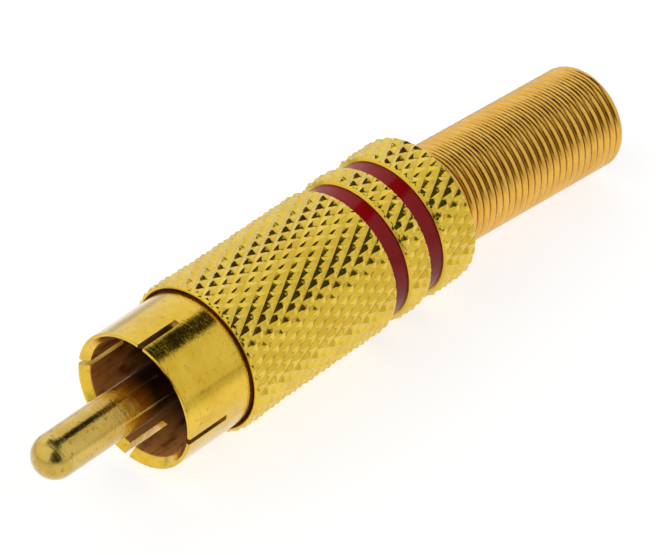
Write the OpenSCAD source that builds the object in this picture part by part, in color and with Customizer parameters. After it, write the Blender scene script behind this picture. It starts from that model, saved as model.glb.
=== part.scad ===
// Solder-type phono plug with a knurled barrel, two colour bands and a coil-spring strain relief.
// Millimetres, +Z up. The plug lies on a table with its axis along X and its pin pointing to -X.
// The origin is the centre of the contact sleeve's rim.

/* [Centre pin] */
// Diameter of the centre pin
pin_d = 3.2; // [2.8:0.1:3.6]
// How far the pin stands out in front of the sleeve's rim
pin_reach = 8.9; // [7:0.1:10.5]
// Diameter of the shank behind the pin's shoulder
shank_d = 2.36; // [2:0.02:2.6]
// Length of the solder cup behind the insulator
cup_len = 4.6; // [3:0.1:6]

/* [Contact sleeve] */
// Outside diameter of the contact sleeve
sleeve_d = 9.97; // [9:0.01:11]
// Wall of the contact sleeve
sleeve_wall = 0.7; // [0.6:0.05:1]
// Length of sleeve that shows in front of the barrel
sleeve_reach = 5.86; // [5:0.02:7]
// Depth of the lead-in chamfer inside the rim
lead_in = 0.5; // [0.2:0.05:0.6]
// Number of spring slots
slot_count = 4; // [2:1:6]
// Width of each slot
slot_w = 0.45; // [0.3:0.05:0.8]
// Length of each slot from the rim
slot_len = 3.5; // [2:0.1:4.5]
// Turn of the first slot about the axis, from +Y towards +Z, degrees
slot_turn = 8.1; // [0:0.1:90]
// Length of the thread behind the collar
thread_len = 4.6; // [3.5:0.1:6]

/* [Barrel] */
// Length of the barrel
barrel_len = 21.84; // [19:0.02:28]
// Wall of the barrel round the sleeve, over the knurl
mouth_wall = 0.58; // [0.5:0.02:0.9]
// How much the mouth is wider than the rest of the barrel, per side
mouth_flare = 0.12; // [0:0.01:0.2]
// Thickness of the barrel's rear wall, which holds the spring
rear_wall = 1.6; // [1:0.1:2.4]
// Radius of the barrel's rear edge
rear_round = 0.7; // [0.3:0.05:1]

/* [Knurl] */
// Number of knurl points round the barrel
knurl_count = 36; // [24:1:44]
// Length of one knurl diamond along the barrel
knurl_pitch = 1.65; // [1.3:0.05:2.4]
// Depth of the knurl
knurl_depth = 0.3; // [0.15:0.01:0.34]

/* [Colour bands] */
// Width of each colour band's groove
band_w = 1.35; // [0.8:0.05:2]
// Knurled land between the two grooves
band_gap = 2.08; // [1:0.02:3]
// Distance from the rear groove to the barrel's rear face
band_inset = 3.22; // [2:0.02:5]
// Depth of each groove below the knurl's points
groove_depth = 0.58; // [0.45:0.01:0.66]
// Radius of the rounded edges of each groove
groove_round = 0.36; // [0.1:0.02:0.5]
// Thickness of the colour in the groove
band_thick = 0.12; // [0.1:0.01:0.2]

/* [Spring] */
// Outside diameter of the strain-relief spring
spring_d = 7.6; // [6.6:0.05:7.7]
// Diameter of the spring's wire
wire_d = 0.63; // [0.45:0.01:0.7]
// Open gap between neighbouring turns
coil_gap = 0.026; // [0.02:0.002:0.1]
// How far the spring stands out behind the barrel
spring_reach = 17.1; // [12:0.1:22]
// Droop of the loose spring in the rear wall's hole, degrees
droop = 5.7; // [2:0.1:6.4]

/* [Cable side] */
// Thickness of the ground clamp's sheet
clamp_t = 0.4; // [0.3:0.05:0.5]
// Inside radius of the ground clamp's cable trough
trough_r = 2.72; // [2.4:0.02:2.8]
// Length of the cable trough
trough_len = 3.8; // [3:0.1:4.5]
// Wall of the insulating liner
liner_wall = 0.32; // [0.25:0.01:0.4]

/* [Hidden] */
$fn = 96;
fit = 0.05;
pin_r = pin_d / 2;
shank_r = shank_d / 2;
cup_r = shank_r - 0.34;

sleeve_r = sleeve_d / 2;
bore_r = sleeve_r - sleeve_wall;
mouth_x = sleeve_reach;
collar_x = mouth_x + 0.75;
tail_x = collar_x + thread_len;
thread_r = sleeve_r - 0.56;
lip_r = bore_r - 1;
lip_x = collar_x - 0.3;
socket_x = lip_x + 0.8;
socket_r = thread_r - 0.62;
rolled_r = socket_r - 0.3;
rolled_x = tail_x - 0.25;
washer_x = rolled_x - 0.05 - clamp_t;
boss_x = tail_x + 0.5;
boss_r = shank_r + 0.8;
cup_x = boss_x + cup_len;

rear_x = mouth_x + barrel_len;
mouth_r = sleeve_r + mouth_wall;
body_r = mouth_r - mouth_flare;
chamber_r = thread_r + 0.075;
chamber_x = rear_x - rear_wall;
groove_r = body_r - groove_depth;
rear_band_x = rear_x - band_inset - band_w;
front_band_x = rear_band_x - band_gap - band_w;
flare_len = 4.5;

pivot_x = rear_x - rear_wall / 2;
wire_r = wire_d / 2;
coil_pitch = wire_d + coil_gap;
seat_at = rear_wall / 2 + chamber_r * sin(droop) + wire_r + fit;
seat_len = seat_at + 1.5 * coil_pitch;
seat_r = (chamber_r - fit - (seat_len + wire_r) * sin(droop)) * cos(droop);
hole_room = fit + rear_wall / 2 * tan(droop);
spring_r = min(spring_d / 2, (seat_r - 0.12 - hole_room) * cos(droop));
hole_r = spring_r / cos(droop) + hole_room;
spring_run = spring_reach + rear_wall / 2 - wire_r;

liner_r = chamber_r - 0.08;
liner_in = liner_r - liner_wall;
liner_x0 = tail_x + 0.4;
liner_x1 = pivot_x - seat_len - chamber_r * sin(droop) - wire_r - 0.4;
tongue_y = 1.3;
tongue_z = min(trough_r, sqrt(pow(rolled_r - 0.1, 2) - pow(tongue_y, 2)) - clamp_t);
trough_x1 = min(liner_x1 - 0.5, cup_x + 2 + trough_len);
trough_x0 = trough_x1 - trough_len;
ear_top = 1.6;

gold = "#e3c566";
satin_gold = "#cf9f4a";
enamel_red = "#a3121a";

// Lays what is drawn along Z along X instead.
module along_x() { rotate([0, 90, 0]) children(); }

// Turned piece from an outline of radius and place along the axis.
module turned(outline) { along_x() rotate_extrude() polygon(outline); }

// Solid pin with a round tip, a shoulder on the insulator and an open solder cup.
module centre_pin() {
  color(gold) difference() {
    union() {
      along_x() translate([0, 0, pin_r - pin_reach]) cylinder(r = pin_r, h = lip_x - pin_r + pin_reach);
      translate([pin_r - pin_reach, 0, 0]) along_x() sphere(r = pin_r);
      along_x() translate([0, 0, lip_x - 0.5]) cylinder(r = shank_r, h = cup_x - lip_x + 0.5);
    }
    along_x() translate([0, 0, boss_x + 0.5]) cylinder(r = cup_r, h = cup_len);
    translate([boss_x + 1.4, -shank_r - 1, 0.1]) cube([cup_len, 2 * shank_r + 2, shank_r + 1]);
  }
}

// Moulded bush that holds the pin in the sleeve, with a boss through the ground clamp.
module insulator() {
  color("#241d18") turned([
    [shank_r + 0.01, lip_x + 0.01], [lip_r - 0.03, lip_x + 0.01], [lip_r - 0.03, socket_x + 0.01],
    [socket_r - 0.03, socket_x + 0.01], [socket_r - 0.03, washer_x - 0.01], [boss_r, washer_x - 0.01],
    [boss_r, boss_x], [shank_r + 0.01, boss_x]]);
}

// Slotted sleeve, collar and threaded tail in one turned piece; the tail's rim is rolled inwards.
module contact_sleeve() {
  color(gold) difference() {
    turned([
      [sleeve_r - 0.22, 0], [sleeve_r - 0.06, 0], [sleeve_r, 0.06], [sleeve_r, collar_x],
      [thread_r - 0.35, collar_x], [thread_r - 0.35, collar_x + 0.35], [thread_r, collar_x + 0.7],
      [thread_r, tail_x - 0.3], [thread_r - 0.3, tail_x], [rolled_r, tail_x], [rolled_r, rolled_x],
      [socket_r, rolled_x], [socket_r, socket_x], [lip_r, socket_x], [lip_r, lip_x],
      [bore_r, lip_x], [bore_r, lead_in]]);
    for (k = [0 : slot_count - 1]) rotate([slot_turn + k * 360 / slot_count, 0, 0])
      translate([-1, bore_r - 1, -slot_w / 2]) cube([1 + slot_len, sleeve_wall + 2, slot_w]);
  }
}

// Stamped washer, tongue and cable trough of the ground side, cut and bent from one sheet.
module ground_clamp() {
  color(gold) union() {
    difference() {
      along_x() translate([0, 0, washer_x]) cylinder(r = socket_r - 0.03, h = clamp_t);
      along_x() translate([0, 0, washer_x - 1]) cylinder(r = boss_r + 0.06, h = clamp_t + 2);
    }
    difference() {
      translate([washer_x, -tongue_y, -tongue_z - clamp_t])
        cube([trough_x1 - washer_x, 2 * tongue_y, clamp_t]);
      translate([boss_x + 2.4, 0, -tongue_z - 2]) cylinder(r = 0.6, h = 4);
      along_x() translate([0, 0, trough_x0 - 1]) cylinder(r = trough_r, h = trough_len + 2);
    }
    translate([trough_x0, 0, 0]) difference() {
      union() {
        along_x() cylinder(r = trough_r + clamp_t, h = trough_len);
        translate([0, -trough_r - clamp_t, 0]) cube([trough_len, 2 * (trough_r + clamp_t), ear_top]);
      }
      translate([-1, 0, 0]) along_x() cylinder(r = trough_r, h = trough_len + 2);
      translate([-1, -trough_r, 0]) cube([trough_len + 2, 2 * trough_r, ear_top + 1]);
      translate([-1, -8, ear_top]) cube([trough_len + 2, 16, 8]);
    }
  }
}

// Tube that keeps the solder joints off the barrel.
module insulating_liner() {
  color("#e9e4d6") along_x() translate([0, 0, liner_x0]) difference() {
    cylinder(r = liner_r, h = liner_x1 - liner_x0);
    translate([0, 0, -1]) cylinder(r = liner_in, h = liner_x1 - liner_x0 + 2);
  }
}

// Rod with a diamond knurl: on each row points and hollows take turns, and the next row is shifted by
// half a diamond, so every point is a four-sided pyramid.
module knurled_rod(x0, x1) {
  half = knurl_pitch / 2;
  rows = ceil((x1 - x0) / half);
  n = 2 * knurl_count;
  function point_r(x) = let (f = min(1, max(0, (x - mouth_x) / flare_len)))
    body_r + mouth_flare * (1 - f * f * (3 - 2 * f));
  points = [for (i = [0 : rows]) for (j = [0 : n - 1])
    let (x = x0 + i * half, r = point_r(x) - ((i + j) % 2) * knurl_depth, a = j * 360 / n)
    [x, r * cos(a), r * sin(a)]];
  sides = [for (i = [0 : rows - 1]) for (j = [0 : n - 1])
    let (k = (j + 1) % n, a = i * n + j, b = i * n + k, c = a + n, d = b + n)
    each ((i + j) % 2 == 0 ? [[a, b, c], [b, d, c]] : [[a, b, d], [a, d, c]])];
  ends = [[for (j = [n - 1 : -1 : 0]) j], [for (j = [0 : n - 1]) rows * n + j]];
  polyhedron(points = points, faces = concat(sides, ends));
}

// Outline of one groove with rounded edges.
function groove_outline(x) = let (q = min(groove_round, groove_depth), top = body_r + 0.02 - q, x1 = x + band_w)
  concat(
    [[mouth_r + 0.2, x - q]],
    [for (a = [90 : -22.5 : 0]) [top + q * sin(a), x - q + q * cos(a)]],
    [[groove_r, x], [groove_r, x1]],
    [for (a = [0 : 22.5 : 90]) [top + q * sin(a), x1 + q - q * cos(a)]],
    [[mouth_r + 0.2, x1 + q]]);

// Turned outline of the barrel: mouth, grooves, rear edge, hole for the spring and main bore.
function barrel_outline() = concat(
  [[sleeve_r + 0.22, mouth_x], [mouth_r - 0.24, mouth_x], [mouth_r + 0.2, mouth_x + 0.44]],
  groove_outline(front_band_x), groove_outline(rear_band_x),
  [[mouth_r + 0.2, rear_x - rear_round]],
  [for (a = [0 : 22.5 : 90]) [body_r + 0.02 - rear_round * (1 - cos(a)), rear_x - rear_round * (1 - sin(a))]],
  [[hole_r + 0.15, rear_x], [hole_r, rear_x - 0.15], [hole_r, chamber_x], [chamber_r, chamber_x],
   [chamber_r, collar_x + 0.3], [sleeve_r + fit, collar_x + 0.03], [sleeve_r + fit, mouth_x + 0.17]]);

// Knurled barrel with two turned grooves, threaded on the sleeve's tail.
module barrel() {
  color(gold) intersection() {
    knurled_rod(mouth_x - 0.3, rear_x + 0.2);
    turned(barrel_outline());
  }
}

// Ring of enamel in a groove, a little crowned.
module colour_band(x) {
  color(enamel_red) turned([
    [groove_r + 0.01, x + 0.01], [groove_r + band_thick - 0.04, x + 0.01],
    [groove_r + band_thick, x + 0.2], [groove_r + band_thick, x + band_w - 0.2],
    [groove_r + band_thick - 0.04, x + band_w - 0.01], [groove_r + 0.01, x + band_w - 0.01]]);
}
module front_colour_band() { colour_band(front_band_x); }
module rear_colour_band() { colour_band(rear_band_x); }

// Close-wound spring; its first turns are wider and cannot leave through the rear wall's hole.
module strain_relief_spring() {
  steps = 20;
  sides = 6;
  turns = (spring_run + seat_len) / coil_pitch;
  n = round(turns * steps);
  function coil_r(s) = let (f = min(1, max(0, (-s - rear_wall / 2 - wire_r) / (seat_at - rear_wall / 2 - wire_r))))
    spring_r + (seat_r - spring_r) * f - wire_r;
  points = [for (i = [0 : n]) for (k = [0 : sides - 1])
    let (s = -seat_len + i / steps * coil_pitch, a = i * 360 / steps, b = k * 360 / sides,
         r = coil_r(s) + wire_r * cos(b))
    [s + wire_r * sin(b), r * cos(a), r * sin(a)]];
  around = [for (i = [0 : n - 1]) for (k = [0 : sides - 1])
    let (l = (k + 1) % sides, a = i * sides + k, b = i * sides + l, c = a + sides, d = b + sides)
    each [[a, b, c], [b, d, c]]];
  ends = [[for (k = [sides - 1 : -1 : 0]) k], [for (k = [0 : sides - 1]) n * sides + k]];
  color(satin_gold) translate([pivot_x, 0, 0]) rotate([0, droop, 0])
    polyhedron(points = points, faces = concat(around, ends));
}

centre_pin();
insulator();
contact_sleeve();
ground_clamp();
insulating_liner();
barrel();
front_colour_band();
rear_colour_band();
strain_relief_spring();
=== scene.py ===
"""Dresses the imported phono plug: fine knurl, wound spring, slotted sleeve, enamel bands and finishes."""

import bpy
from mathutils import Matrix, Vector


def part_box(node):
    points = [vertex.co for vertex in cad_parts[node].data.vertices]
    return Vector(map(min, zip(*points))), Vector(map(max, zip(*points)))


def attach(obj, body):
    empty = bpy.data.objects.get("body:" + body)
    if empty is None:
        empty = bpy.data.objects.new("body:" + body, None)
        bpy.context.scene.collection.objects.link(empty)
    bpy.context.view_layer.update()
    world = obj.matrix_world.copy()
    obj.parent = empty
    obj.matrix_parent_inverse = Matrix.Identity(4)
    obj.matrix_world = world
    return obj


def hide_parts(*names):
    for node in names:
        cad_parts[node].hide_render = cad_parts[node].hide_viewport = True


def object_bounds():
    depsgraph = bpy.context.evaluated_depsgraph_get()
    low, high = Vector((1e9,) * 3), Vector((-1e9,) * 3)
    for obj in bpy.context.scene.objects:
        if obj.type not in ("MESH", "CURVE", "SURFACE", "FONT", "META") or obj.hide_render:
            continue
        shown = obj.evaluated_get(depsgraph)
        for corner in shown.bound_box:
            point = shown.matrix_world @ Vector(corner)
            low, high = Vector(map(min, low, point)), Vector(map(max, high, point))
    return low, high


bl_info = {
    "name": "Phono Plug",
    "version": (1, 0, 0),
    "blender": (4, 5, 0),
    "location": "3D View > Sidebar > Phono Plug",
    "description": "Makes the visible pieces of a solder-type phono plug on its packed frame",
    "category": "Add Mesh",
}

from math import ceil, cos, floor, pi, radians, sin, tan, tau

import bmesh
import bpy
from bpy.props import FloatProperty, FloatVectorProperty, IntProperty, PointerProperty
from mathutils import Matrix, Vector

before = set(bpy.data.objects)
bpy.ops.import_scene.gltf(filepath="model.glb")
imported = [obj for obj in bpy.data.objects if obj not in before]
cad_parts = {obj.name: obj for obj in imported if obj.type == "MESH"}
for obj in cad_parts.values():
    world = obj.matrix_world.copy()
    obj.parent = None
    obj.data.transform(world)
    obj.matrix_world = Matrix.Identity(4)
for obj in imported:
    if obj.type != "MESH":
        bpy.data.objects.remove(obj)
CAD_BOX = [list(corner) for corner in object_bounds()]
MM = 0.001


def span(node):
    """Where a CAD node begins and ends along the plug's axis."""
    low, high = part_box(node)
    return low.x, high.x


def linear(colour):
    """An sRGB hex colour as linear red, green, blue and alpha."""
    parts = [int(colour[i : i + 2], 16) / 255 for i in (1, 3, 5)]
    return (*(c / 12.92 if c <= 0.04045 else ((c + 0.055) / 1.055) ** 2.4 for c in parts), 1.0)


# Places and radii that several pieces share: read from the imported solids, or set off from those as in the
# CAD source.
SEAT_GAP = 0.01 * MM
MOUTH_X, REAR_X = span("barrel")
TIP_X, CUP_X = span("centre_pin")
TAIL_X = span("contact_sleeve")[1]
LIP_X, BOSS_X = (span("insulator")[0] - SEAT_GAP, span("insulator")[1])
SLEEVE_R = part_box("contact_sleeve")[1].y
PIN_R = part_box("centre_pin")[1].y
COLLAR_X = LIP_X + 0.3 * MM
THREAD_R = SLEEVE_R - 0.56 * MM
CHAMBER_R = THREAD_R + 0.075 * MM
REAR_WALL = 1.6 * MM
PIVOT_X = REAR_X - REAR_WALL / 2
BANDS = ("front_colour_band", "rear_colour_band")
# How far the barrel's rounded edges stand over the knurl's points, so that the knurl runs out on them.
RUN_OUT = 0.02 * MM
# Columns round a plain turned piece.
COLUMNS = 96

# The camera, as it was fitted to the outlines in the photograph: focal length and sensor in millimetres,
# its place, and the directions to its right, upwards and ahead.
CAMERA_LENS = 369.5
CAMERA_SENSOR = 36
CAMERA_PLACE = (-0.243952, -0.238711, 0.280604)
CAMERA_RIGHT = (0.67191, -0.74064, 0)
CAMERA_UP = (0.46009, 0.41740, 0.78364)
CAMERA_AHEAD = (0.58039, 0.52653, -0.62121)


def length_property(name, description, size_mm):
    """A property that holds a length."""
    return FloatProperty(name=name, description=description, default=size_mm * MM, unit="LENGTH", precision=6)


def share_property(name, description, default):
    """A property that holds a share from 0 to 1."""
    return FloatProperty(name=name, description=description, default=default, subtype="FACTOR", min=0, max=1)


def angle_property(name, description, degrees):
    """A property that holds an angle."""
    return FloatProperty(name=name, description=description, default=radians(degrees), subtype="ANGLE")


def colour_property(name, description, colour):
    """A property that holds the colour of a finish."""
    return FloatVectorProperty(name=name, description=description, default=linear(colour),
                               subtype="COLOR", size=4, min=0, max=1)


class PlugSizes(bpy.types.PropertyGroup):
    """Sizes of the fine detail, which the solids hold only roughly or not at all."""

    knurl_count: IntProperty(name="Knurl points", description="Knurl points round the barrel",
                             default=36, min=12)
    knurl_pitch: length_property("Knurl length", "Length of one diamond along the barrel", 1.65)
    knurl_depth: length_property("Knurl depth", "Height of a knurl point over its hollows", 0.25)
    knurl_hollow: share_property("Knurl hollow", "How hollow the flanks of a point are, 0 is flat", 0.36)
    knurl_lift: share_property("Knurl lift", "How much shallower the second hand of grooves is cut", 0.2)
    knurl_land: share_property("Knurl land", "Share of a point's height that is worn off flat", 0.08)
    body_radius: length_property("Barrel radius", "Radius over the knurl behind the mouth", 5.445)
    mouth_flare: length_property("Mouth flare", "How much the knurl stands out at the mouth", 0.12)
    flare_length: length_property("Flare length", "Length over which the flare dies out", 4.5)
    groove_depth: length_property("Groove depth", "Depth of the colour grooves under the points", 0.58)
    front_bevel: length_property("Front bevel", "Height of the bevel before each colour groove", 0.25)
    rear_bevel: length_property("Rear bevel", "Height of the steep bevel behind each colour groove", 0.20)
    rear_facet: length_property("Rear facet", "Height of the flatter bevel above the rear one", 0.15)
    edge_round: length_property("Edge rounding", "Radius between the bevels and the knurl", 0.16)
    slot_count: IntProperty(name="Slots", description="Slots in the contact sleeve", default=4, min=1)
    slot_width: length_property("Slot width", "Width of a slot in the sleeve", 0.45)
    slot_length: length_property("Slot length", "Length of a slot from the sleeve's rim", 3.5)
    slot_turn: angle_property("Slot turn", "Turn of the first slot from the side towards the top", 8.1)
    thread_pitch: length_property("Thread pitch", "Pitch of the thread under the barrel", 0.75)
    thread_depth: length_property("Thread depth", "Depth of the thread under the barrel", 0.30)
    wire: length_property("Spring wire", "Diameter of the spring's wire", 0.63)
    coil_pitch: length_property("Coil pitch", "Distance from one turn of the spring to the next", 0.656)
    coil_radius: length_property("Coil radius", "Outside radius of the spring", 3.8)
    droop: angle_property("Spring droop", "How far the loose spring hangs down", 5.7)


class PlugColours(bpy.types.PropertyGroup):
    """Colours of the finishes."""

    gold: colour_property("Gold", "Bright gold plate of the contacts", "#ecc41d")
    pin_gold: colour_property("Pin gold", "Duller gold plate of the pin", "#dbb94a")
    slot_gold: colour_property("Slot gold", "Pale gold on the walls of the slots", "#e6cb80")
    knurl_gold: colour_property("Knurl gold", "Gold plate of the barrel", "#eecb22")
    spring_gold: colour_property("Spring gold", "Satin gold of the spring's wire", "#f3bd40")
    tarnish: colour_property("Tarnish", "Copper brown inside the sleeve", "#ffb868")
    # Painted shade in the gap between the barrel's mouth and the sleeve.
    mouth: colour_property("Mouth", "Brown ring at the barrel's mouth", "#7a3c1a")
    enamel: colour_property("Enamel", "Red enamel in the grooves", "#b80b13")
    bush: colour_property("Bush", "Dark moulded bush round the pin", "#241d18")
    liner: colour_property("Liner", "Pale tube under the barrel", "#e9e4d6")


def put(tree, kind, feeds=None, **settings):
    """Adds one node. Settings are its own choices and feeds are its inputs.

    A feed is a value, another node's output, or another node for its first output."""
    made = tree.nodes.new(kind)
    for key, value in settings.items():
        setattr(made, key, value)
    for socket, what in (feeds or {}).items():
        if isinstance(what, bpy.types.Node):
            what = what.outputs[0]
        if isinstance(what, bpy.types.NodeSocket):
            tree.links.new(what, made.inputs[socket])
        else:
            made.inputs[socket].default_value = what
    return made


# Finishes


def start_material(name):
    """An empty material, its node tree and the object coordinates that its patterns lie on."""
    material = bpy.data.materials.new(name)
    material.use_nodes = True
    tree = material.node_tree
    tree.nodes.clear()
    return material, tree, put(tree, "ShaderNodeTexCoord").outputs["Object"]


def end_material(material, tree, feeds):
    """Ends a material with one principled shader."""
    shader = put(tree, "ShaderNodeBsdfPrincipled", feeds)
    put(tree, "ShaderNodeOutputMaterial", {"Surface": shader})
    return material


def painted_shade_along(tree, place, tint, ends, dark, most):
    """Paints shade: darkens most of a tint between two places along the axis."""
    along = put(tree, "ShaderNodeSeparateXYZ", {0: place}).outputs["X"]
    taken = put(tree, "ShaderNodeMapRange", {0: along, 1: ends[0], 2: ends[1], 3: 0.0, 4: most},
                interpolation_type="SMOOTHSTEP")
    return put(tree, "ShaderNodeMix", {0: taken, 6: tint, 7: linear(dark)}, data_type="RGBA").outputs[2]


def gold_plate(name, colour, roughness, coat, streak, cloud, fleck=0.0, grain=0.0, sheen=0.2, shade_span=None,
               hollow=None, hollow_tint="", hollow_rough=0.0, axis_turn=0.0, axis_x=0.0):
    """Gold plate on turned brass: a warm mirror, cloudy by a shade, with fine marks that run round the axis.

    streak is how far those marks tilt the surface, grain how far a finer, even pebble does, cloud how much
    the colour drifts, fleck how much of it is tarnished in brown specks and sheen how pale it turns at the
    edges. A span along the axis, if given, is where painted shade turns it almost black. hollow gives the
    radii between which the plate turns from the darker tint and the roughness of a hollow to plain gold,
    measured from an axis with that turn and place."""
    material, tree, place = start_material(name)
    # Marks of the lathe and of handling: 0.1 mm apart along the axis and about 0.6 mm long round it.
    lines = put(tree, "ShaderNodeMapping", {"Vector": place, "Scale": (9000, 1700, 1700)})
    marks = put(tree, "ShaderNodeTexNoise", {"Vector": lines, "Scale": 1.0, "Detail": 3.0, "Roughness": 0.6})
    # The plate's slow drift of colour, over about 1.5 mm.
    drift = put(tree, "ShaderNodeTexNoise", {"Vector": place, "Scale": 700.0, "Detail": 2.0})
    paler = [min(1, c * 1.06 + 0.03) for c in colour[:3]] + [1]
    deeper = [colour[0] * 0.93, colour[1] * 0.86, colour[2] * 0.7, 1]
    shade = put(tree, "ShaderNodeMapRange", {0: drift, 1: 0.35, 2: 0.65, 3: 0.5 - cloud, 4: 0.5 + cloud})
    tint = put(tree, "ShaderNodeMix", {0: shade, 6: deeper, 7: paler}, data_type="RGBA").outputs[2]
    rough = put(tree, "ShaderNodeMapRange",
                {0: marks, 1: 0.3, 2: 0.7, 3: roughness * 0.7, 4: roughness * 1.4})
    if fleck:
        # Specks of tarnish, 0.2 to 0.4 mm across and drawn out a little round the axis.
        spots = put(tree, "ShaderNodeMapping", {"Vector": place, "Scale": (3400, 2600, 2600)})
        specks = put(tree, "ShaderNodeTexNoise",
                     {"Vector": spots, "Scale": 1.0, "Detail": 4.0, "Roughness": 0.65})
        worn = put(tree, "ShaderNodeMapRange", {0: specks, 1: 0.57, 2: 0.72, 3: 0.0, 4: fleck})
        tint = put(tree, "ShaderNodeMix", {0: worn, 6: tint, 7: linear("#4a3212")},
                   data_type="RGBA").outputs[2]
    # Painted shade: between two places along the axis the colour turns almost black.
    if shade_span:
        tint = painted_shade_along(tree, place, tint, shade_span, "#1e1008", 0.95)
    # Towards the bottom of a hollow the colour turns to the hollow's darker tint. Between the spring's turns
    # this tint is painted shade.
    if hollow:
        centred = put(tree, "ShaderNodeMapping", {"Vector": place, "Location": (-axis_x, 0, 0)})
        turned = put(tree, "ShaderNodeMapping", {"Vector": centred, "Rotation": (0, -axis_turn, 0)})
        flat = put(tree, "ShaderNodeVectorMath", {0: turned, 1: (0, 1, 1)}, operation="MULTIPLY")
        radius = put(tree, "ShaderNodeVectorMath", {0: flat}, operation="LENGTH").outputs["Value"]
        outside_hollow = put(tree, "ShaderNodeMapRange", {0: radius, 1: hollow[0], 2: hollow[1], 3: 0.0, 4: 1.0},
                    interpolation_type="SMOOTHSTEP")
        tint = put(tree, "ShaderNodeMix", {0: outside_hollow, 6: linear(hollow_tint), 7: tint},
                   data_type="RGBA").outputs[2]
        rough = put(tree, "ShaderNodeMix", {0: outside_hollow, 2: hollow_rough, 3: rough})
    # The marks come in patches, which follow the drift.
    patchy = put(tree, "ShaderNodeMapRange", {0: drift, 1: 0.35, 2: 0.6, 3: streak * 0.4, 4: streak})
    bump = put(tree, "ShaderNodeBump", {"Height": marks, "Strength": patchy, "Distance": 0.05 * MM})
    if grain:
        # A pebble of 0.15 mm under the plate, which blurs what the surface mirrors.
        pebble = put(tree, "ShaderNodeTexNoise", {"Vector": place, "Scale": 6500.0, "Detail": 2.0})
        bump = put(tree, "ShaderNodeBump",
                   {"Height": pebble, "Strength": grain, "Distance": 0.02 * MM, "Normal": bump})
    return end_material(material, tree, {
        "Base Color": tint, "Metallic": 1.0, "Roughness": rough, "Normal": bump,
        "Coat Weight": coat, "Coat Roughness": 0.06, "Coat IOR": 1.4,
        "Sheen Weight": sheen, "Sheen Roughness": 0.3})


def tarnish_and_shade_plate(name, colour, deep=None):
    """A dull copper brown, blotched along the axis: the tarnish of thin plate where no tool polished it, and
    painted shade at the barrel's mouth.

    deep gives the two places along the axis between which it darkens into painted shade."""
    material, tree, place = start_material(name)
    # Blotches about 2 mm long and 0.7 mm wide.
    drawn = put(tree, "ShaderNodeMapping", {"Vector": place, "Scale": (500, 1400, 1400)})
    blotch = put(tree, "ShaderNodeTexNoise", {"Vector": drawn, "Scale": 1.0, "Detail": 3.0, "Roughness": 0.6})
    dark = [colour[0] * 0.45, colour[1] * 0.3, colour[2] * 0.22, 1]
    share = put(tree, "ShaderNodeMapRange", {0: blotch, 1: 0.34, 2: 0.54, 3: 0.0, 4: 1.0})
    tint = put(tree, "ShaderNodeMix", {0: share, 6: dark, 7: list(colour)}, data_type="RGBA").outputs[2]
    # Painted shade: further along the axis the colour turns dark brown.
    if deep:
        tint = painted_shade_along(tree, place, tint, deep, "#2a120a", 0.9)
    bump = put(tree, "ShaderNodeBump", {"Height": blotch, "Strength": 0.3, "Distance": 0.04 * MM})
    return end_material(material, tree, {
        "Base Color": tint, "Metallic": 0.1, "Roughness": 0.42, "Normal": bump})


def red_enamel(name, colour):
    """Stoved red enamel: deep colour under a smooth skin with the faint waves of paint that was run in.

    A sheen turns it paler where it curves away from the eye."""
    material, tree, place = start_material(name)
    waves = put(tree, "ShaderNodeTexNoise", {"Vector": place, "Scale": 1100.0, "Detail": 1.0})
    deep = [c * 0.75 for c in colour[:3]] + [1]
    tint = put(tree, "ShaderNodeMix", {0: waves, 6: deep, 7: list(colour)}, data_type="RGBA").outputs[2]
    bump = put(tree, "ShaderNodeBump", {"Height": waves, "Strength": 0.15, "Distance": 0.03 * MM})
    return end_material(material, tree, {
        "Base Color": tint, "Roughness": 0.12, "IOR": 1.28, "Normal": bump,
        "Sheen Weight": 0.5, "Sheen Roughness": 0.3})


def moulded_plastic(name, colour, roughness, grain_mm):
    """Moulded or drawn plastic: even colour with a fine dull grain."""
    material, tree, place = start_material(name)
    grain = put(tree, "ShaderNodeTexNoise", {"Vector": place, "Scale": 1 / (grain_mm * MM), "Detail": 2.0})
    dark = [c * 0.85 for c in colour[:3]] + [1]
    tint = put(tree, "ShaderNodeMix", {0: grain, 6: dark, 7: list(colour)}, data_type="RGBA").outputs[2]
    bump = put(tree, "ShaderNodeBump", {"Height": grain, "Strength": 0.2, "Distance": 0.02 * MM})
    return end_material(material, tree, {
        "Base Color": tint, "Roughness": roughness, "IOR": 1.5, "Normal": bump})


# Shapes


def eased(outline):
    """Rounds the corners of an outline of (x, radius, ease): each eased corner becomes a small curve."""
    steps, most = 4, 0.45
    points = []
    for i, (x, r, ease) in enumerate(outline):
        corner = Vector((x, r))
        if not ease:
            points.append((x, r))
            continue
        before, after = (Vector(outline[k % len(outline)][:2]) - corner for k in (i - 1, i + 1))
        start = corner + before.normalized() * min(ease, before.length * most)
        end = corner + after.normalized() * min(ease, after.length * most)
        for k in range(steps + 1):
            t = k / steps
            p = start * (1 - t) ** 2 + corner * 2 * t * (1 - t) + end * t * t
            points.append((p.x, p.y))
    return points


def divided(points, step, first, low_r):
    """Adds a station at every step along the runs of a closed outline that lie above a radius."""
    short, near = step * 0.3, step * 0.1
    made = []
    for i, (x, r) in enumerate(points):
        made.append((x, r))
        nx, nr = points[(i + 1) % len(points)]
        if min(r, nr) < low_r or abs(nx - x) < short:
            continue
        k, way = (floor((x - first) / step) + 1, 1) if nx > x else (ceil((x - first) / step) - 1, -1)
        while (nx - (first + k * step)) * way > near:
            at = first + k * step
            if abs(at - x) > near:
                made.append((at, r + (nr - r) * (at - x) / (nx - x)))
            k += way
    return made


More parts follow.
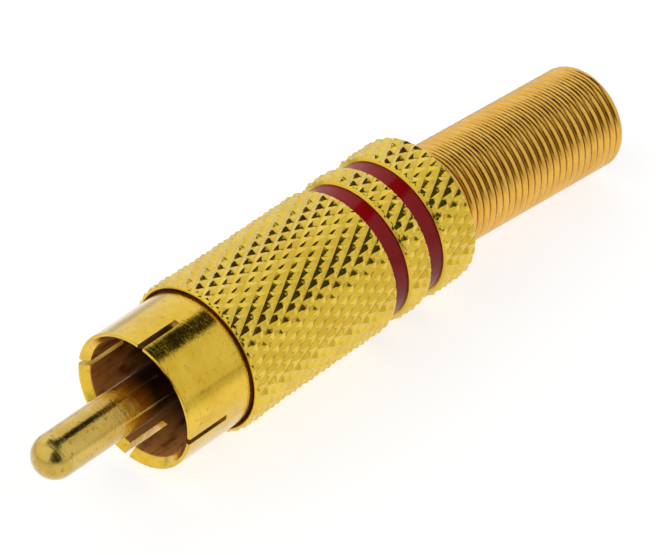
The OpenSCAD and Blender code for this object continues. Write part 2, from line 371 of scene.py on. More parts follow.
def lathe(name, points, columns, closed=True, valley=None):
    """Turns an outline of (x, radius) round the plug's axis. A radius of 0 closes on the axis.

    valley says, for the middle of a patch, which of its diagonals a knurl groove follows."""
    verts, rings = [], []
    for x, r in points:
        if r == 0:
            rings.append([len(verts)] * columns)
            verts.append((x, 0, 0))
        else:
            rings.append(list(range(len(verts), len(verts) + columns)))
            verts += [(x, r * cos(tau * c / columns), r * sin(tau * c / columns)) for c in range(columns)]
    faces = []
    for i in range(len(points) if closed else len(points) - 1):
        k = (i + 1) % len(points)
        here, there = rings[i], rings[k]
        middle, rising = (points[i][0] + points[k][0]) / 2, points[k][0] > points[i][0]
        for c in range(columns):
            d = (c + 1) % columns
            patch = [here[c], here[d], there[d], there[c]]
            if here[c] == here[d] or there[c] == there[d]:
                faces.append([v for n, v in enumerate(patch) if v not in patch[:n]])
            elif valley is None:
                faces.append(patch)
            elif valley(middle, tau * (c + 0.5) / columns) == rising:
                faces += [[patch[0], patch[1], patch[3]], [patch[1], patch[2], patch[3]]]
            else:
                faces += [[patch[0], patch[1], patch[2]], [patch[0], patch[2], patch[3]]]
    mesh = bpy.data.meshes.new(name)
    mesh.from_pydata(verts, [], faces)
    form = bmesh.new()
    form.from_mesh(mesh)
    bmesh.ops.recalc_face_normals(form, faces=form.faces)
    form.to_mesh(mesh)
    form.free()
    return place_mesh(mesh)


def place_mesh(mesh):
    """Makes an object of a mesh, by the mesh's own name."""
    made = bpy.data.objects.new(mesh.name, mesh)
    bpy.context.scene.collection.objects.link(made)
    return made


def start_tree(name, floats, ints=(), vectors=()):
    """An empty geometry tree with inputs of those names, and its group input's outputs."""
    tree = bpy.data.node_groups.new(name, "GeometryNodeTree")
    tree.interface.new_socket("Geometry", in_out="OUTPUT", socket_type="NodeSocketGeometry")
    inputs = (("Geometry", ["Geometry"]), ("Int", ints), ("Float", floats), ("Vector", vectors),
              ("Material", ["Material"]))
    for kind, labels in inputs:
        for label in labels:
            tree.interface.new_socket(label, in_out="INPUT", socket_type="NodeSocket" + kind)
    return tree, put(tree, "NodeGroupInput").outputs


def end_tree(tree, geometry, given):
    """Ends a geometry tree: instances made real, and the material set."""
    real = put(tree, "GeometryNodeRealizeInstances", {0: geometry})
    dressed = put(tree, "GeometryNodeSetMaterial", {0: real, "Material": given["Material"]})
    put(tree, "NodeGroupOutput", {0: dressed})
    return tree


def shape_by(made, tree, **values):
    """Runs a geometry tree on an object and keeps the result as its plain mesh."""
    modifier = made.modifiers.new(tree.name, "NODES")
    modifier.node_group = tree
    for item in tree.interface.items_tree:
        key = item.name.lower().replace(" ", "_")
        if item.in_out == "INPUT" and key in values:
            modifier[item.identifier] = values[key]
    settle(made)


def settle(made):
    """Turns an object with its modifiers into a plain mesh."""
    seen = made.evaluated_get(bpy.context.evaluated_depsgraph_get())
    mesh, old = bpy.data.meshes.new_from_object(seen), made.data
    made.modifiers.clear()
    made.data = mesh
    bpy.data.meshes.remove(old)


def hand_over(made, node, body, material=None, sharp=40):
    """Shades a finished piece and sets it in the place of its CAD node."""
    if material:
        made.data.materials.clear()
        made.data.materials.append(material)
    made.data.shade_smooth()
    made.data.set_sharp_from_angle(angle=radians(sharp))
    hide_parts(node)
    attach(made, body)


def point_round_axis(tree):
    """The three parts of a point's position, and its angle round the plug's axis in turns."""
    at = put(tree, "ShaderNodeSeparateXYZ", {0: put(tree, "GeometryNodeInputPosition")}).outputs
    angle = put(tree, "ShaderNodeMath", {0: at[2], 1: at[1]}, operation="ARCTAN2")
    return at, put(tree, "ShaderNodeMath", {0: angle, 1: tau}, operation="DIVIDE")


def pulled_in(tree, at, cut):
    """Where a point lies once all that stands over the cut's radius is pulled in to it."""
    side = put(tree, "ShaderNodeCombineXYZ", {1: at[1], 2: at[2]})
    radius = put(tree, "ShaderNodeVectorMath", {0: side}, operation="LENGTH").outputs["Value"]
    kept = put(tree, "ShaderNodeMath", {0: radius, 1: cut}, operation="MINIMUM")
    ratio = put(tree, "ShaderNodeMath", {0: kept, 1: radius}, operation="DIVIDE")
    pulled = put(tree, "ShaderNodeVectorMath", {0: side, "Scale": ratio}, operation="SCALE")
    axial = put(tree, "ShaderNodeCombineXYZ", {0: at[0]})
    return put(tree, "ShaderNodeVectorMath", {0: pulled, 1: axial}, operation="ADD")


def knurl_tree():
    """Cuts a diamond knurl into a turned blank, with two crossing hands of grooves."""
    tree, given = start_tree("cut_diamond_knurl", ints=["Points Round"], floats=[
        "Diamond Length", "Depth", "Hollow", "Lift", "Land", "First Row", "Body Radius", "Flare", "Mouth",
        "Flare End"])
    at, turns = point_round_axis(tree)
    around = put(tree, "ShaderNodeMath", {0: turns, 1: given["Points Round"]}, operation="MULTIPLY")
    past = put(tree, "ShaderNodeMath", {0: at[0], 1: given["First Row"]}, operation="SUBTRACT")
    along = put(tree, "ShaderNodeMath", {0: past, 1: given["Diamond Length"]}, operation="DIVIDE")
    steady = put(tree, "ShaderNodeMath", {0: 1.0, 1: given["Hollow"]}, operation="SUBTRACT")
    heights = []
    for way in ("ADD", "SUBTRACT"):
        thread = put(tree, "ShaderNodeMath", {0: around, 1: along}, operation=way)
        fold = put(tree, "ShaderNodeMath", {0: thread, 1: 0.5}, operation="PINGPONG")
        flank = put(tree, "ShaderNodeMath", {0: fold, 1: -2.0, 2: 1.0}, operation="MULTIPLY_ADD")
        steep = put(tree, "ShaderNodeMath", {0: flank, 1: given["Hollow"], 2: steady},
                    operation="MULTIPLY_ADD")
        heights.append(put(tree, "ShaderNodeMath", {0: flank, 1: steep}, operation="MULTIPLY"))
    raised = put(tree, "ShaderNodeMapRange", {0: heights[1], 3: given["Lift"], 4: 1.0})
    # The flanks run into one another softly where they differ by less than this share of a point's height.
    soft = 0.42
    point = put(tree, "ShaderNodeMath", {0: heights[0], 1: raised, 2: soft}, operation="SMOOTH_MIN")
    top = put(tree, "ShaderNodeMath", {0: 1.0, 1: given["Land"]}, operation="SUBTRACT")
    height = put(tree, "ShaderNodeMath", {0: point, 1: top}, operation="MINIMUM")
    drop = put(tree, "ShaderNodeMath", {0: top, 1: height}, operation="SUBTRACT")
    flare = put(tree, "ShaderNodeMapRange",
                {0: at[0], 1: given["Mouth"], 2: given["Flare End"], 3: given["Flare"], 4: 0.0},
                interpolation_type="SMOOTHSTEP")
    crest = put(tree, "ShaderNodeMath", {0: given["Body Radius"], 1: flare}, operation="ADD")
    sunk = put(tree, "ShaderNodeMath", {0: drop, 1: given["Depth"]}, operation="MULTIPLY")
    cut = put(tree, "ShaderNodeMath", {0: crest, 1: sunk}, operation="SUBTRACT")
    moved = put(tree, "GeometryNodeSetPosition",
                {0: given["Geometry"], "Position": pulled_in(tree, at, cut)})
    return end_tree(tree, moved, given)


def thread_tree():
    """Cuts a right-hand thread into the turned tail behind the collar."""
    tree, given = start_tree("cut_thread", floats=["Pitch", "Depth", "Radius", "Start"])
    at, turns = point_round_axis(tree)
    along = put(tree, "ShaderNodeMath", {0: at[0], 1: given["Pitch"]}, operation="DIVIDE")
    lead = put(tree, "ShaderNodeMath", {0: along, 1: turns}, operation="SUBTRACT")
    fold = put(tree, "ShaderNodeMath", {0: lead, 1: 0.5}, operation="PINGPONG")
    share = put(tree, "ShaderNodeMath", {0: fold, 1: 2.0}, operation="MULTIPLY")
    sunk = put(tree, "ShaderNodeMath", {0: share, 1: given["Depth"]}, operation="MULTIPLY")
    cut = put(tree, "ShaderNodeMath", {0: given["Radius"], 1: sunk}, operation="SUBTRACT")
    behind = put(tree, "FunctionNodeCompare", {0: at[0], 1: given["Start"]}, data_type="FLOAT",
                 operation="GREATER_THAN")
    moved = put(tree, "GeometryNodeSetPosition",
                {0: given["Geometry"], "Selection": behind, "Position": pulled_in(tree, at, cut)})
    return end_tree(tree, moved, given)


def slot_tree():
    """Mills equal slots round the axis with a box-shaped cutter."""
    tree, given = start_tree("mill_slots", ints=["Count"], floats=["First Turn"],
                             vectors=["Cutter Size", "Cutter Place"])
    cube = put(tree, "GeometryNodeMeshCube", {"Size": given["Cutter Size"]})
    cutter = put(tree, "GeometryNodeTransform", {0: cube, "Translation": given["Cutter Place"]})
    spots = put(tree, "GeometryNodePoints", {"Count": given["Count"], "Position": (0, 0, 0)})
    index = put(tree, "GeometryNodeInputIndex")
    share = put(tree, "ShaderNodeMath", {0: tau, 1: given["Count"]}, operation="DIVIDE")
    turn = put(tree, "ShaderNodeMath", {0: index, 1: share, 2: given["First Turn"]}, operation="MULTIPLY_ADD")
    euler = put(tree, "ShaderNodeCombineXYZ", {0: turn})
    rotation = put(tree, "FunctionNodeEulerToRotation", {0: euler})
    cutters = put(tree, "GeometryNodeInstanceOnPoints",
                  {"Points": spots, "Instance": cutter, "Rotation": rotation})
    real = put(tree, "GeometryNodeRealizeInstances", {0: cutters})
    milled = put(tree, "GeometryNodeMeshBoolean", {0: given["Geometry"], 1: real},
                 operation="DIFFERENCE", solver="EXACT")
    return end_tree(tree, milled, given)


def spring_tree():
    """Winds a close coil along X: its first turns are wider, and the whole coil leans about its seat."""
    tree, given = start_tree("wind_spring", ints=["Steps"], floats=[
        "Turns", "Pitch", "Start", "Coil Radius", "Seat Radius", "Neck", "Seat", "Wire Radius", "Lean",
        "Pivot"])
    line = put(tree, "GeometryNodeCurvePrimitiveLine")
    count = put(tree, "ShaderNodeMath", {0: given["Turns"], 1: given["Steps"]}, operation="MULTIPLY")
    path = put(tree, "GeometryNodeResampleCurve", {"Curve": line, "Count": count})
    index = put(tree, "GeometryNodeInputIndex")
    turn = put(tree, "ShaderNodeMath", {0: index, 1: given["Steps"]}, operation="DIVIDE")
    along = put(tree, "ShaderNodeMath", {0: turn, 1: given["Pitch"], 2: given["Start"]},
                operation="MULTIPLY_ADD")
    radius = put(tree, "ShaderNodeMapRange", {0: along, 1: given["Seat"], 2: given["Neck"],
                                              3: given["Seat Radius"], 4: given["Coil Radius"]})
    angle = put(tree, "ShaderNodeMath", {0: turn, 1: tau}, operation="MULTIPLY")
    sides = []
    for way in ("COSINE", "SINE"):
        wave = put(tree, "ShaderNodeMath", {0: angle}, operation=way)
        sides.append(put(tree, "ShaderNodeMath", {0: wave, 1: radius}, operation="MULTIPLY"))
    place = put(tree, "ShaderNodeCombineXYZ", {0: along, 1: sides[0], 2: sides[1]})
    coil = put(tree, "GeometryNodeSetPosition", {0: path, "Position": place})
    section = put(tree, "GeometryNodeCurvePrimitiveCircle",
                  {"Resolution": 12, "Radius": given["Wire Radius"]})
    wire = put(tree, "GeometryNodeCurveToMesh", {"Curve": coil, "Profile Curve": section, "Fill Caps": True})
    lean = put(tree, "ShaderNodeCombineXYZ", {1: given["Lean"]})
    pivot = put(tree, "ShaderNodeCombineXYZ", {0: given["Pivot"]})
    leaned = put(tree, "GeometryNodeTransform", {0: wire, "Translation": pivot, "Rotation": lean})
    return end_tree(tree, leaned, given)


# Pieces


class PHONOPLUG_OT_turn_pin(bpy.types.Operator):
    """Turns the centre pin with its round tip and opens its solder cup"""

    bl_idname = "phono_plug.turn_pin"
    bl_label = "Turn Centre Pin"

    def execute(self, context):
        shank, bore, cup_ease = 1.18 * MM, 0.84 * MM, 0.04 * MM
        run, cup_floor = 0.4 * MM, BOSS_X + 0.5 * MM
        steps = 20
        nose = [i * pi / (2 * steps) for i in range(steps + 1)]
        outline = [(TIP_X + PIN_R * (1 - cos(a)), PIN_R * sin(a)) for a in nose]
        outline += eased([
            (TIP_X + PIN_R + run, PIN_R, 0), (LIP_X - run, PIN_R, 0), (LIP_X, PIN_R, 0.05 * MM),
            (LIP_X, shank, 0), (CUP_X, shank, cup_ease), (CUP_X, bore, cup_ease),
            (cup_floor, bore, 0), (cup_floor, 0, 0)])
        made = lathe("turned_pin", outline, COLUMNS, closed=False)
        # Behind the sleeve's rim the pin is painted almost black, ramping up from 0.7 mm before the rim to 0.9
        # mm behind it: painted shade inside the sleeve.
        plate = gold_plate("satin_gold_pin", context.scene.phono_plug_colours.pin_gold, roughness=0.15,
                           coat=1.0, streak=0.6, cloud=0.5, fleck=0.6, grain=0.45,
                           shade_span=(-0.7 * MM, 0.9 * MM))
        # The cutter opens the cup's upper side and reaches past its edges.
        long, tall, open_x, open_z = CUP_X - BOSS_X, shank + MM, BOSS_X + 1.4 * MM, 0.1 * MM
        shape_by(made, slot_tree(), count=1, first_turn=0.0, cutter_size=(long, 2 * shank + 2 * MM, tall),
                 cutter_place=(open_x + long / 2, 0, open_z + tall / 2), material=plate)
        hand_over(made, "centre_pin", "contacts")
        return {"FINISHED"}


class PHONOPLUG_OT_mould_bush(bpy.types.Operator):
    """Makes the moulded bush that holds the pin in the sleeve"""

    bl_idname = "phono_plug.mould_bush"
    bl_label = "Mould Bush"

    def execute(self, context):
        x0, x1 = span("insulator")
        socket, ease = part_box("insulator")[1].y, 0.05 * MM
        lip, boss, bore = SLEEVE_R - 1.73 * MM, 1.98 * MM, 1.19 * MM
        step, washer = x0 + 0.8 * MM, TAIL_X - 0.71 * MM
        made = lathe("moulded_bush", eased([
            (x0, bore, 0), (x0, lip, ease), (step, lip, 0), (step, socket, 0), (washer, socket, ease),
            (washer, boss, 0), (x1, boss, 0.12 * MM), (x1, bore, ease)]), COLUMNS)
        plastic = moulded_plastic("moulded_dark_bush", context.scene.phono_plug_colours.bush,
                                  roughness=0.45, grain_mm=0.15)
        hand_over(made, "insulator", "contacts", plastic)
        return {"FINISHED"}


class PHONOPLUG_OT_turn_sleeve(bpy.types.Operator):
    """Turns the contact sleeve with its collar and tail, cuts its thread and mills its slots"""

    bl_idname = "phono_plug.turn_sleeve"
    bl_label = "Turn Contact Sleeve"

    def execute(self, context):
        sizes, colours = context.scene.phono_plug_sizes, context.scene.phono_plug_colours
        bore, lip, socket = SLEEVE_R - 0.7 * MM, SLEEVE_R - 1.7 * MM, THREAD_R - 0.62 * MM
        rolled, back, neck = socket - 0.3 * MM, TAIL_X - 0.25 * MM, THREAD_R - 0.35 * MM
        rim, lead_in, chamfer = SLEEVE_R - 0.22 * MM, 0.5 * MM, 0.3 * MM
        shelf, neck_end, thread_x = LIP_X + 0.8 * MM, COLLAR_X + 0.35 * MM, COLLAR_X + 0.7 * MM
        outline = eased([
            (0, rim, 0.03 * MM), (0, SLEEVE_R, 0.07 * MM), (COLLAR_X, SLEEVE_R, 0.05 * MM),
            (COLLAR_X, neck, 0), (neck_end, neck, 0), (thread_x, THREAD_R, 0),
            (TAIL_X - chamfer, THREAD_R, 0), (TAIL_X, THREAD_R - chamfer, 0.08 * MM),
            (TAIL_X, rolled, 0.05 * MM), (back, rolled, 0), (back, socket, 0), (shelf, socket, 0),
            (shelf, lip, 0), (LIP_X, lip, 0), (LIP_X, bore, 0), (lead_in, bore, 0.05 * MM)])
        # Stations a tenth of the thread's pitch apart, on all that lies further out than the neck.
        station, low_r, columns = 0.075 * MM, 4.1 * MM, 160
        made = lathe("slotted_sleeve", divided(outline, station, 0, low_r), columns)
        plate = gold_plate("polished_gold_sleeve", colours.gold, roughness=0.07, coat=1.0, streak=0.5,
                           cloud=0.35, fleck=0.4)
        shape_by(made, thread_tree(), pitch=sizes.thread_pitch, depth=sizes.thread_depth, radius=THREAD_R,
                 start=COLLAR_X + 0.3 * MM, material=plate)
        # The cutter starts a millimetre before the rim and a millimetre inside the bore.
        long, deep = sizes.slot_length + MM, 2.8 * MM
        shape_by(made, slot_tree(), count=sizes.slot_count, first_turn=sizes.slot_turn,
                 cutter_size=(long, deep, sizes.slot_width),
                 cutter_place=(long / 2 - MM, bore - MM + deep / 2, 0), material=plate)
        # The bore darkens from 2.8 mm to 6 mm along the axis: painted shade deep inside the sleeve.
        made.data.materials.append(
            tarnish_and_shade_plate("tarnished_copper_bore", colours.tarnish, deep=(2.8 * MM, 6.0 * MM)))
        made.data.materials.append(
            gold_plate("sawn_gold_slot", colours.slot_gold, roughness=0.35, coat=0.2, streak=0.4, cloud=0.5))
        self.dress_inside(made.data, bore)
        hand_over(made, "contact_sleeve", "contacts", sharp=35)
        return {"FINISHED"}

    def dress_inside(self, mesh, bore):
        """Gives the bore behind its lead-in the tarnish with its painted shade, and the walls of the slots the
        sawn gold.
        """
        near, bore_x, bore_end, slot_x, sideways = 0.05 * MM, 0.45 * MM, LIP_X + 0.2 * MM, 0.02 * MM, 0.3
        for face in mesh.polygons:
            x, side = face.center.x, face.center.yz
            if bore_x < x < bore_end and side.length < bore + near:
                face.material_index = 1
            elif slot_x < x < LIP_X and side.length < SLEEVE_R - near:
                if abs(face.normal.yz.dot(side.normalized())) < sideways:
                    face.material_index = 2


class PHONOPLUG_OT_bend_clamp(bpy.types.Operator):
    """Breaks the edges of the stamped ground clamp"""

    bl_idname = "phono_plug.bend_clamp"
    bl_label = "Bend Ground Clamp"

    def execute(self, context):
        form = bmesh.new()
        form.from_mesh(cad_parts["ground_clamp"].data)
        bmesh.ops.remove_doubles(form, verts=form.verts, dist=0.002 * MM)
        bmesh.ops.dissolve_limit(form, angle_limit=radians(1), verts=form.verts, edges=form.edges)
        mesh = bpy.data.meshes.new("stamped_clamp")
        form.to_mesh(mesh)
        form.free()
        made = place_mesh(mesh)
        edge = made.modifiers.new("broken_edge", "BEVEL")
        edge.width = 0.04 * MM
        edge.segments = 2
        edge.limit_method = "ANGLE"
        edge.angle_limit = radians(40)
        settle(made)
        plate = gold_plate("stamped_gold_clamp", context.scene.phono_plug_colours.gold, roughness=0.24,
                           coat=0.4, streak=0.3, cloud=0.4)
        hand_over(made, "ground_clamp", "contacts", plate)
        return {"FINISHED"}


class PHONOPLUG_OT_draw_liner(bpy.types.Operator):
    """Makes the pale tube that lies between the solder joints and the barrel"""

    bl_idname = "phono_plug.draw_liner"
    bl_label = "Draw Liner"

    def execute(self, context):
        (x0, x1), outer = span("insulating_liner"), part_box("insulating_liner")[1].y
        inner, ease = outer - 0.32 * MM, 0.08 * MM
        made = lathe("drawn_liner", eased([
            (x0, inner, ease), (x0, outer, ease), (x1, outer, ease), (x1, inner, ease)]), COLUMNS)
        plastic = moulded_plastic("drawn_pale_liner", context.scene.phono_plug_colours.liner,
                                  roughness=0.5, grain_mm=0.25)
        hand_over(made, "insulating_liner", "liner", plastic)
        return {"FINISHED"}


class PHONOPLUG_OT_knurl_barrel(bpy.types.Operator):
    """Turns the barrel with its two grooves and cuts the diamond knurl into it"""

    bl_idname = "phono_plug.knurl_barrel"
    bl_label = "Knurl Barrel"

    def execute(self, context):
        sizes, colours = context.scene.phono_plug_sizes, context.scene.phono_plug_colours
        # Six stations to each half diamond, counted from a row of points before the mouth.
        fine, half, first = 6, sizes.knurl_pitch / 2, MOUTH_X - 1.51 * MM
        count = 2 * sizes.knurl_count

        def valley(x, angle):
            return (floor((x - first) / half) + floor(angle / tau * count)) % 2 == 0

        groove = sizes.body_radius - sizes.groove_depth
        blank = divided(eased(self.blank_outline(sizes, groove)), half / fine, first, groove + 0.1 * MM)
        made = lathe("knurled_barrel", blank, count * fine, valley=valley)
        hollow = (sizes.body_radius - sizes.knurl_depth - 0.03 * MM, sizes.body_radius - 0.16 * MM)
        plate = gold_plate("knurled_gold_barrel", colours.knurl_gold, roughness=0.14, coat=1.0, streak=0.12,
                           cloud=0.3, hollow=hollow, hollow_tint="#e3bf30", hollow_rough=0.18)
        shape_by(made, knurl_tree(), points_round=sizes.knurl_count, diamond_length=sizes.knurl_pitch,
                 depth=sizes.knurl_depth, hollow=sizes.knurl_hollow, lift=sizes.knurl_lift,
                 land=sizes.knurl_land, first_row=first, body_radius=sizes.body_radius,
                 flare=sizes.mouth_flare, mouth=MOUTH_X, flare_end=MOUTH_X + sizes.flare_length,
                 material=plate)
        # Painted shade: the barrel's faces inside its mouth, round the sleeve, are painted a blotched brown.
        made.data.materials.append(tarnish_and_shade_plate("tarnished_brown_mouth", colours.mouth))
        ring_x, ring_r = MOUTH_X + 0.3 * MM, SLEEVE_R + 0.2 * MM
        for face in made.data.polygons:
            if face.center.x < ring_x and face.center.yz.length < ring_r:
                face.material_index = 1
        hand_over(made, "barrel", "barrel", sharp=24)
        return {"FINISHED"}

    def blank_outline(self, sizes, groove):
        """The turned blank: it stands over the knurl's points, and the knurl is cut down from it."""
        peak = sizes.body_radius + sizes.mouth_flare
        over, play, rear_round, hole = peak + 0.2 * MM, 0.05 * MM, 0.7 * MM, self.spring_hole()
        outline = [(MOUTH_X, SLEEVE_R + 0.22 * MM, 0.05 * MM), (MOUTH_X, peak - 0.24 * MM, 0.04 * MM),
                   (MOUTH_X + 0.44 * MM, over, 0)]
        steep, flatter = radians(38), radians(54)
        before = self.groove_edge(sizes, over, [(steep, sizes.front_bevel)])
        behind = self.groove_edge(sizes, over, [(steep, sizes.rear_bevel), (flatter, sizes.rear_facet)])
        for node in BANDS:
            low, high = span(node)
            low, high = low - SEAT_GAP, high + SEAT_GAP
            outline += [*((low - away, r, 0) for away, r in before), (low, groove, 0),
                        (high, groove, 0), *((high + away, r, 0) for away, r in reversed(behind))]
        outline.append((REAR_X - rear_round, over, 0))
        steps = 8
        outline += [(REAR_X - rear_round * (1 - sin(a)),
                     sizes.body_radius + RUN_OUT - rear_round * (1 - cos(a)), 0)
                    for a in (i * pi / (2 * steps) for i in range(steps + 1))]
        # The hole's inner edge is eased so far that the spring clears it when it leans.
        outline += [(REAR_X, hole, 0.15 * MM), (REAR_X - REAR_WALL, hole, 0.2 * MM),
                    (REAR_X - REAR_WALL, CHAMBER_R, 0), (COLLAR_X + 0.3 * MM, CHAMBER_R, 0),
                    (COLLAR_X + 0.03 * MM, SLEEVE_R + play, 0), (MOUTH_X + 0.17 * MM, SLEEVE_R + play, 0)]
        return outline

    def groove_edge(self, sizes, over, bevels):
        """A groove's edge from the knurl down to its wall, as distances from the wall and radii.

        bevels are the turn of each bevel from the wall and its height, from the wall up."""
        steps = 5
        q, top, last = sizes.edge_round, sizes.body_radius + RUN_OUT, bevels[-1][0]
        away = q * cos(last) + sum(height * tan(turn) for turn, height in bevels)
        turns = [pi / 2 - (pi / 2 - last) * i / steps for i in range(steps + 1)]
        edge = [(away, over), *((away - q * cos(a), top - q + q * sin(a)) for a in turns)]
        for turn, height in reversed(bevels):
            edge.append((edge[-1][0] - height * tan(turn), edge[-1][1] - height))
        return edge

    def spring_hole(self):
        """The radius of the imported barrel's hole round the spring: its innermost points in the rear wall."""
        inner_face = REAR_X - REAR_WALL + 0.01 * MM
        points = [v.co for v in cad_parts["barrel"].data.vertices]
        return min(p.yz.length for p in points if p.x > inner_face)


class PHONOPLUG_OT_fill_bands(bpy.types.Operator):
    """Fills the barrel's two grooves with red enamel"""

    bl_idname = "phono_plug.fill_bands"
    bl_label = "Fill Colour Bands"

    def execute(self, context):
        sizes = context.scene.phono_plug_sizes
        paint = red_enamel("stoved_red_enamel", context.scene.phono_plug_colours.enamel)
        low = sizes.body_radius - sizes.groove_depth + 0.005 * MM
        steps, sag, columns = 16, 0.03 * MM, 200
        for node in BANDS:
            (x0, x1), top = span(node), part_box(node)[1].y
            # The paint climbs a little at both walls and is lowest between them.
            skin = [(x0 + (x1 - x0) * i / steps, top - sag * sin(pi * i / steps) ** 0.6)
                    for i in range(steps + 1)]
            made = lathe("enamel_" + node, [(x0, low), *skin, (x1, low)], columns)
            hand_over(made, node, "barrel", paint, sharp=50)
        return {"FINISHED"}


class PHONOPLUG_OT_wind_spring(bpy.types.Operator):
    """Winds the strain-relief spring and lets it droop in the barrel's rear wall"""

    bl_idname = "phono_plug.wind_spring"
    bl_label = "Wind Spring"

    def execute(self, context):
        sizes = context.scene.phono_plug_sizes
        wire, play, stand_out, steps = sizes.wire / 2, 0.05 * MM, 17.1 * MM, 56
        seat = REAR_WALL / 2 + CHAMBER_R * sin(sizes.droop) + wire + play
        start = seat + 1.5 * sizes.coil_pitch
        seat_r = (CHAMBER_R - play - (start + wire) * sin(sizes.droop)) * cos(sizes.droop)
        reach = stand_out + REAR_WALL / 2 - wire
        made = place_mesh(bpy.data.meshes.new("wound_spring"))
        # Painted shade between the turns: the wire's sides and its inner side turn dark brown.
        hollow = (sizes.coil_radius - wire * 1.15, sizes.coil_radius - wire * 0.28)
        plate = gold_plate("satin_gold_wire", context.scene.phono_plug_colours.spring_gold, roughness=0.24,
                           coat=0.8, streak=0.15, cloud=0.3, sheen=0.25, hollow=hollow,
                           hollow_tint="#4e2406", hollow_rough=0.5, axis_turn=sizes.droop, axis_x=PIVOT_X)
        shape_by(made, spring_tree(), turns=(reach + start) / sizes.coil_pitch, steps=steps,
                 pitch=sizes.coil_pitch, start=-start, coil_radius=sizes.coil_radius - wire,
                 seat_radius=seat_r - wire, neck=-REAR_WALL / 2 - wire, seat=-seat, wire_radius=wire,
                 lean=sizes.droop, pivot=PIVOT_X, material=plate)
        hand_over(made, "strain_relief_spring", "spring", sharp=60)
        return {"FINISHED"}


class PHONOPLUG_OT_set_stage(bpy.types.Operator):
    """Sets the pale floor, the tent of soft light and the camera"""

    bl_idname = "phono_plug.set_stage"
    bl_label = "Set Stage"

    def execute(self, context):
        scene = context.scene
        scene.view_settings.view_transform = "Standard"
        self.make_floor()
        self.make_light(scene)
        camera = bpy.data.cameras.new("camera")
        camera.lens = CAMERA_LENS
        camera.sensor_width = CAMERA_SENSOR
        camera.clip_start = 0.01
        camera.clip_end = 10
        holder = bpy.data.objects.new("camera", camera)
        right, up, ahead = (Vector(v).normalized() for v in (CAMERA_RIGHT, CAMERA_UP, CAMERA_AHEAD))
        turn = Matrix((right, up, -ahead)).transposed().to_4x4()
        holder.matrix_world = Matrix.Translation(CAMERA_PLACE) @ turn
        scene.collection.objects.link(holder)
        scene.camera = holder
        return {"FINISHED"}

    def make_floor(self):
        """A wide white sheet under the plug: plain and diffuse, made up to white where it is seen directly.

        Metal that mirrors it sees a painted glow on it as well, most of all close to the plug."""
        mesh = bpy.data.meshes.new("white_sheet")
        low, far = CAD_BOX[0][2], 2
        mesh.from_pydata([(-far, -far, low), (far, -far, low), (far, far, low), (-far, far, low)], [],
                         [(0, 1, 2, 3)])
        sheet = place_mesh(mesh)
        material, tree, spot = start_material("white_sheet")
        paths = put(tree, "ShaderNodeLightPath").outputs
        seen = put(tree, "ShaderNodeMath", {0: paths["Is Camera Ray"], 1: 0.76}, operation="MULTIPLY")
        away = put(tree, "ShaderNodeVectorMath", {0: spot, 1: (0.018, 0, low)},
                   operation="DISTANCE").outputs["Value"]
        # Painted pool of light, seen only by mirrored rays: the sheet glows at 0.66 within 20 mm of the plug's
        # middle, falling to 0.34 beyond 60 mm.
        pool = put(tree, "ShaderNodeMapRange", {0: away, 1: 0.02, 2: 0.06, 3: 0.66, 4: 0.34})
        level = put(tree, "ShaderNodeMath", {0: paths["Is Glossy Ray"], 1: pool, 2: seen},
                    operation="MULTIPLY_ADD")
        paper = put(tree, "ShaderNodeBsdfDiffuse", {"Color": linear("#c4c3c1")})
        glow = put(tree, "ShaderNodeEmission", {"Color": (1, 1, 1, 1), "Strength": level})
        both = put(tree, "ShaderNodeAddShader", {0: paper, 1: glow})
        put(tree, "ShaderNodeOutputMaterial", {"Surface": both})
        mesh.materials.append(material)

    def make_light(self, scene):
        """A bright tent of soft light with a dark opening overhead and the dark camera stand in front of it.

        The tent is white where the camera looks straight at it."""
        world = bpy.data.worlds.new("light_tent")
        world.use_nodes = True
        scene.world = world
        tree = world.node_tree
        tree.nodes.clear()
        way = put(tree, "ShaderNodeTexCoord").outputs["Generated"]
        way_x, way_y, way_z = put(tree, "ShaderNodeSeparateXYZ", {0: way}).outputs
        # The opening: a wedge overhead, wide above the pin and narrow above the spring.
        wide = put(tree, "ShaderNodeMapRange", {0: way_x, 1: 0.23, 2: 0.38, 3: 0.54, 4: 0.215})
        middle = put(tree, "ShaderNodeMapRange", {0: way_x, 1: 0.1, 2: 0.58, 3: 0.07, 4: 0.025})
        across = put(tree, "ShaderNodeMath", {0: way_y, 1: middle}, operation="SUBTRACT")
        across = put(tree, "ShaderNodeMath", {0: across}, operation="ABSOLUTE")
        past = put(tree, "ShaderNodeMath", {0: across, 1: wide}, operation="SUBTRACT")
        walls = put(tree, "ShaderNodeMapRange", {0: past, 1: -0.05, 2: 0.06, 3: 0.0, 4: 1.0},
                    interpolation_type="SMOOTHSTEP")
        for start, end in ((-0.20, -0.30), (0.70, 0.84)):
            shut = put(tree, "ShaderNodeMapRange", {0: way_x, 1: start, 2: end, 3: 0.0, 4: 1.0},
                       interpolation_type="SMOOTHSTEP")
            walls = put(tree, "ShaderNodeMath", {0: walls, 1: shut}, operation="MAXIMUM")
        # The stand: a dark upright sector below the opening, where the camera is.
        level_way = put(tree, "ShaderNodeVectorMath", {0: way, 1: (1, 1, 0)}, operation="MULTIPLY")
        bearing = put(tree, "ShaderNodeVectorMath", {0: level_way}, operation="NORMALIZE")
        beside = put(tree, "ShaderNodeVectorMath", {0: bearing, 1: (-0.6157, -0.788, 0)},
                     operation="DOT_PRODUCT").outputs["Value"]
        stand = put(tree, "ShaderNodeMapRange", {0: beside, 1: 0.84, 2: 0.92, 3: 0.0, 4: 1.0},
                    interpolation_type="SMOOTHSTEP")
        for start, end in ((0.90, 0.80), (0.0, 0.1)):
            edge = put(tree, "ShaderNodeMapRange", {0: way_z, 1: start, 2: end, 3: 0.0, 4: 1.0},
                       interpolation_type="SMOOTHSTEP")
            stand = put(tree, "ShaderNodeMath", {0: stand, 1: edge}, operation="MULTIPLY")
        clear = put(tree, "ShaderNodeMath", {0: 1.0, 1: stand}, operation="SUBTRACT")
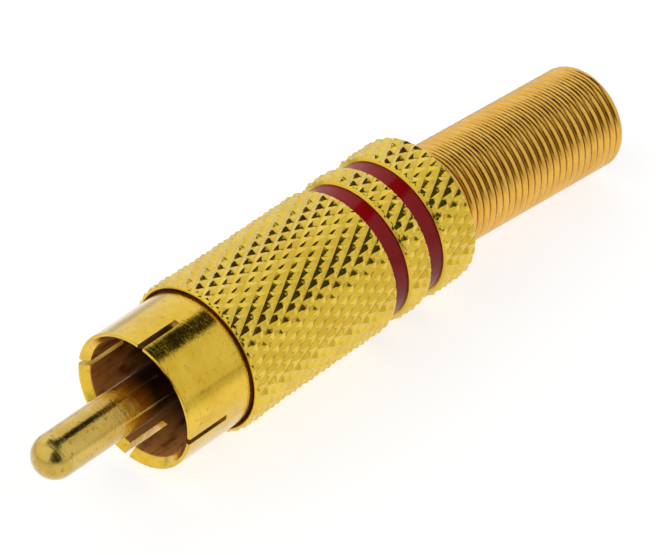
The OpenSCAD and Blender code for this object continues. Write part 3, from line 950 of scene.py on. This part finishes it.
        # The tent's walls: a little brighter on the far side, and dim where they meet the floor.
        side = put(tree, "ShaderNodeMapRange", {0: way_y, 1: -0.3, 2: 0.3, 3: 0.70, 4: 0.86})
        rise = put(tree, "ShaderNodeMapRange", {0: way_z, 1: 0.0, 2: 0.08, 3: 0.6, 4: 1.0},
                   interpolation_type="SMOOTHSTEP")
        lit = put(tree, "ShaderNodeMath", {0: walls, 1: clear}, operation="MULTIPLY")
        lit = put(tree, "ShaderNodeMath", {0: lit, 1: side}, operation="MULTIPLY")
        # The little light that the dark parts still give.
        least = put(tree, "ShaderNodeMapRange", {0: way_x, 1: 0.3, 2: 0.45, 3: 0.045, 4: 0.02})
        lit = put(tree, "ShaderNodeMath", {0: lit, 1: rise, 2: least}, operation="MULTIPLY_ADD")
        eye = put(tree, "ShaderNodeLightPath").outputs["Is Camera Ray"]
        level = put(tree, "ShaderNodeMath", {0: lit, 1: eye}, operation="MAXIMUM")
        glow = put(tree, "ShaderNodeBackground", {"Color": (1, 1, 1, 1), "Strength": level})
        put(tree, "ShaderNodeOutputWorld", {"Surface": glow})


class PHONOPLUG_PT_pieces(bpy.types.Panel):
    """Lists the plug's pieces and their sizes"""

    bl_idname = "PHONOPLUG_PT_pieces"
    bl_label = "Phono Plug"
    bl_space_type = "VIEW_3D"
    bl_region_type = "UI"
    bl_category = "Phono Plug"

    def draw(self, context):
        for maker in MAKERS:
            self.layout.operator(maker.bl_idname)
        for group in (context.scene.phono_plug_sizes, context.scene.phono_plug_colours):
            column = self.layout.column(align=True)
            for name in group.__annotations__:
                column.prop(group, name)


MAKERS = (
    PHONOPLUG_OT_set_stage,
    PHONOPLUG_OT_turn_pin,
    PHONOPLUG_OT_mould_bush,
    PHONOPLUG_OT_turn_sleeve,
    PHONOPLUG_OT_bend_clamp,
    PHONOPLUG_OT_draw_liner,
    PHONOPLUG_OT_knurl_barrel,
    PHONOPLUG_OT_fill_bands,
    PHONOPLUG_OT_wind_spring,
)
CLASSES = (PlugSizes, PlugColours, *MAKERS, PHONOPLUG_PT_pieces)


def register():
    for cls in CLASSES:
        bpy.utils.register_class(cls)
    bpy.types.Scene.phono_plug_sizes = PointerProperty(type=PlugSizes)
    bpy.types.Scene.phono_plug_colours = PointerProperty(type=PlugColours)


def unregister():
    del bpy.types.Scene.phono_plug_colours
    del bpy.types.Scene.phono_plug_sizes
    for cls in reversed(CLASSES):
        bpy.utils.unregister_class(cls)


def main():
    register()
    make = bpy.ops.phono_plug
    make.set_stage()
    make.turn_pin()
    make.mould_bush()
    make.turn_sleeve()
    make.bend_clamp()
    make.draw_liner()
    make.knurl_barrel()
    make.fill_bands()
    make.wind_spring()


if __name__ == "__main__":
    main()
